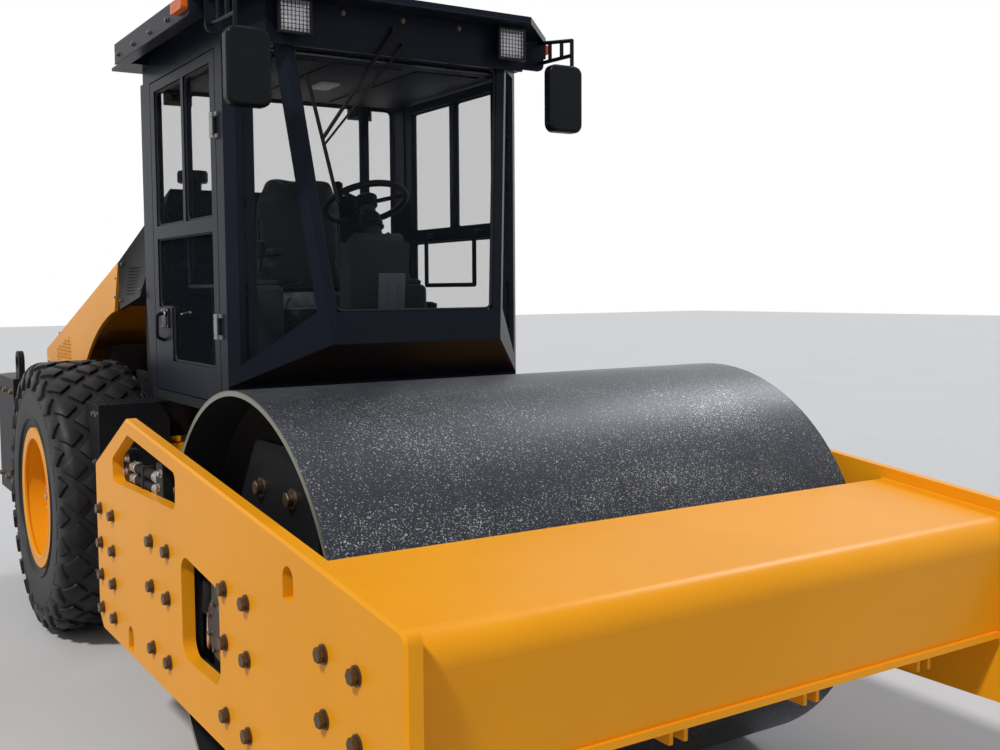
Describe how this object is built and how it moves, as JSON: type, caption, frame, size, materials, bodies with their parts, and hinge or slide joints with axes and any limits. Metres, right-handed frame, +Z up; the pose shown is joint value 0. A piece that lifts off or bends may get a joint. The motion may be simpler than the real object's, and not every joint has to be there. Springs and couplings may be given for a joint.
{
  "type": "road roller",
  "caption": "Single-drum soil roller with a centre-articulated frame, smooth drum ahead, glazed cab, sloping hood and large rubber tyres behind.",
  "frame": {"origin": "on the ground at the middle of the bounding box, straight below the steering pin", "axes": "+X forward to the drum, +Y to the machine's left, +Z up"},
  "size_m": [5.956, 2.45, 3.07],
  "materials": {
    "bare_steel": "machined steel",
    "cab_paint": "blue-black paint, gloss",
    "console_grey": "grey moulded plastic",
    "dark_paint": "dark grey paint, matt",
    "drum_steel": "worn rolled steel",
    "engine_iron": "painted casting",
    "frame_yellow": "yellow-orange paint, satin",
    "lens": "ribbed lens",
    "motor_grey": "dark machine paint",
    "pane": "tinted pane",
    "rubber": "tyre rubber",
    "seat_cloth": "woven seat cloth",
    "trim": "black plastic"
  },
  "bodies": {
    "rear_frame": {"air_precleaner": "trim", "cab_floor": "dark_paint", "cab_frame": "cab_paint", "cab_roof": "cab_paint", "counterweight": "dark_paint", "engine_block": "engine_iron", "front_cowl": "trim", "lamps": "lens", "mirrors": "trim", "quarter_glass": "pane", "radiator": "engine_iron", "rear_axle": "dark_paint", "rear_chassis": "frame_yellow", "rear_glass": "pane", "seat_back": "seat_cloth", "seat_base": "trim", "seat_cushion": "seat_cloth", "side_tanks": "trim", "steering_console": "console_grey", "steering_wheel": "trim", "step_boxes": "dark_paint", "windshield": "pane", "wipers": "trim"},
    "center_joint": {"center_yoke": "dark_paint"},
    "front_frame": {"side_plate_right": "frame_yellow", "side_plate_left": "frame_yellow", "front_beam": "frame_yellow", "rear_crossmember": "frame_yellow", "scrapers": "dark_paint", "drum_mounts": "dark_paint", "drum_motors": "motor_grey"},
    "drum": {"drum_shell": "drum_steel"},
    "wheel_right": {"tyre_right": "rubber", "rim_right": "frame_yellow"},
    "wheel_left": {"tyre_left": "rubber", "rim_left": "frame_yellow"},
    "door_right": {"door_frame_right": "cab_paint", "door_glass_right": "pane"},
    "door_left": {"door_frame_left": "cab_paint", "door_glass_left": "pane"},
    "hood": {"hood_shell": "frame_yellow"},
    "steer_barrel_r": {"steer_barrel_right": "frame_yellow"},
    "steer_barrel_l": {"steer_barrel_left": "frame_yellow"},
    "steer_rod_r": {"steer_rod_right": "bare_steel"},
    "steer_rod_l": {"steer_rod_left": "bare_steel"}
  },
  "joints": [
    {"name": "steering", "type": "hinge", "parent": "rear_frame", "child": "center_joint", "pos_m": [0, 0, 0.75], "axis": [0, 0, 1], "range_deg": [-33, 33]},
    {"name": "oscillation", "type": "hinge", "parent": "center_joint", "child": "front_frame", "pos_m": [0.2, 0, 0.75], "axis": [-1, 0, 0], "range_deg": [-10, 10]},
    {"name": "drum_spin", "type": "hinge", "parent": "front_frame", "child": "drum", "pos_m": [1.6, 0, 0.775], "axis": [0, 1, 0], "continuous": true},
    {"name": "wheel_right_spin", "type": "hinge", "parent": "rear_frame", "child": "wheel_right", "pos_m": [-1.357, -0.9, 0.748], "axis": [0, 1, 0], "continuous": true},
    {"name": "wheel_left_spin", "type": "hinge", "parent": "rear_frame", "child": "wheel_left", "pos_m": [-1.357, 0.9, 0.748], "axis": [0, 1, 0], "continuous": true},
    {"name": "door_right_hinge", "type": "hinge", "parent": "rear_frame", "child": "door_right", "pos_m": [0.505, -0.743, 2.1], "axis": [0, 0, 1], "range_deg": [0, 90]},
    {"name": "door_left_hinge", "type": "hinge", "parent": "rear_frame", "child": "door_left", "pos_m": [0.505, 0.743, 2.1], "axis": [0, 0, -1], "range_deg": [0, 90]},
    {"name": "hood_hinge", "type": "hinge", "parent": "rear_frame", "child": "hood", "pos_m": [-1.017, 0, 2.057], "axis": [0, 1, 0], "range_deg": [0, 50]},
    {"name": "barrel_r_turn", "type": "hinge", "parent": "rear_frame", "child": "steer_barrel_r", "pos_m": [-0.56, -0.225, 0.75], "axis": [0, 0, 1], "range_deg": [-3.21, 3.21]},
    {"name": "rod_r_slide", "type": "slide", "parent": "steer_barrel_r", "child": "steer_rod_r", "axis": [0.9995, 0.0322, 0], "range_m": [-0.124, 0.124]},
    {"name": "barrel_l_turn", "type": "hinge", "parent": "rear_frame", "child": "steer_barrel_l", "pos_m": [-0.56, 0.225, 0.75], "axis": [0, 0, 1], "range_deg": [-3.21, 3.21]},
    {"name": "rod_l_slide", "type": "slide", "parent": "steer_barrel_l", "child": "steer_rod_l", "axis": [0.9995, -0.0322, 0], "range_m": [-0.124, 0.124]}
  ],
  "couplings": [
    {"joint": "barrel_r_turn", "follows": "steering", "ratio": 0.0671},
    {"joint": "rod_r_slide", "follows": "steering", "m_per_rad": 0.1979},
    {"joint": "barrel_l_turn", "follows": "steering", "ratio": 0.0671},
    {"joint": "rod_l_slide", "follows": "steering", "m_per_rad": -0.1979}
  ]
}
